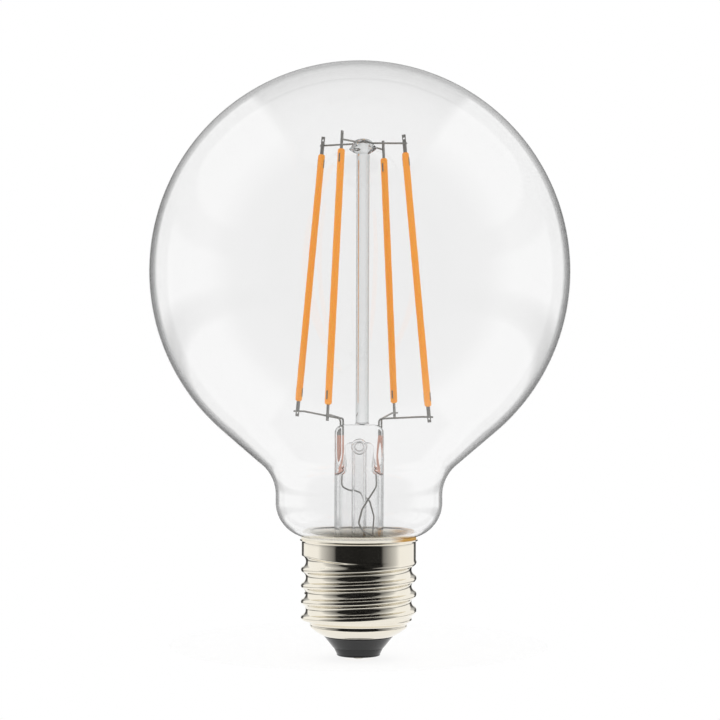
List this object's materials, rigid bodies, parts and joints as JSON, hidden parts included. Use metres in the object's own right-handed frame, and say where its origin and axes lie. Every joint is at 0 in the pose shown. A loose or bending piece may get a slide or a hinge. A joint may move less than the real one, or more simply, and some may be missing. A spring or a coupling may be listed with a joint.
{
  "type": "globe lamp",
  "caption": "Clear glass globe lamp with straight LED filaments on a glass stem, over a screw cap with a black insulator and a centre contact.",
  "frame": {"origin": "lowest point of the centre contact's solder, on the lamp's axis", "axes": "+Z along the lamp's axis from the contact to the crown of the globe, -Y the side that the picture shows, +X to its right"},
  "size_m": [0.095, 0.095, 0.135],
  "materials": {
    "clear_glass": "clear blown soda-lime glass",
    "stem_glass": "clear drawn and pressed glass",
    "phosphor_silicone": "orange phosphor in silicone, satin",
    "tab_steel": "stamped nickel-plated steel strip",
    "chip_strip": "metal strip with a row of chips",
    "nickel_wire": "drawn nickel wire",
    "copper_clad_wire": "oxidised copper-clad wire in glass",
    "nickel_plated_sheet": "rolled brass sheet, bright nickel plate",
    "black_glass": "black moulded glass, glossy",
    "contact_plate": "stamped brass plate",
    "solder": "tin solder, smooth drop",
    "cement": "baked capping cement, matt",
    "circuit_board": "glass-fibre board, solder resist",
    "chip_package": "moulded epoxy",
    "capacitor_sleeve": "shrunk PVC sleeve",
    "resistor_lacquer": "flameproof lacquer"
  },
  "bodies": {
    "root": {"bridge_rectifier": "chip_package", "cap_cement": "cement", "cap_insulator": "black_glass", "cap_shell": "nickel_plated_sheet", "centre_contact": "contact_plate", "centre_rod": "stem_glass", "chip_resistors": "chip_package", "contact_solder": "solder", "driver_board": "circuit_board", "driver_ic": "chip_package", "exhaust_tube": "stem_glass", "filament_left_inner_coat": "phosphor_silicone", "filament_left_inner_lower_tab": "tab_steel", "filament_left_inner_strip": "chip_strip", "filament_left_inner_upper_tab": "tab_steel", "filament_left_outer_coat": "phosphor_silicone", "filament_left_outer_lower_tab": "tab_steel", "filament_left_outer_strip": "chip_strip", "filament_left_outer_upper_tab": "tab_steel", "filament_right_inner_coat": "phosphor_silicone", "filament_right_inner_lower_tab": "tab_steel", "filament_right_inner_strip": "chip_strip", "filament_right_inner_upper_tab": "tab_steel", "filament_right_outer_coat": "phosphor_silicone", "filament_right_outer_lower_tab": "tab_steel", "filament_right_outer_strip": "chip_strip", "filament_right_outer_upper_tab": "tab_steel", "fuse_resistor": "resistor_lacquer", "glass_envelope": "clear_glass", "lead_left_inner": "nickel_wire", "lead_left_outer": "nickel_wire", "lead_right_inner": "nickel_wire", "lead_right_outer": "nickel_wire", "outer_lead_left": "nickel_wire", "outer_lead_right": "nickel_wire", "seal_wire_left": "copper_clad_wire", "seal_wire_right": "copper_clad_wire", "shell_wire": "nickel_wire", "smoothing_capacitor": "capacitor_sleeve", "stem_flare": "stem_glass", "top_wire_back": "nickel_wire", "top_wire_front": "nickel_wire"}
  },
  "joints": []
}
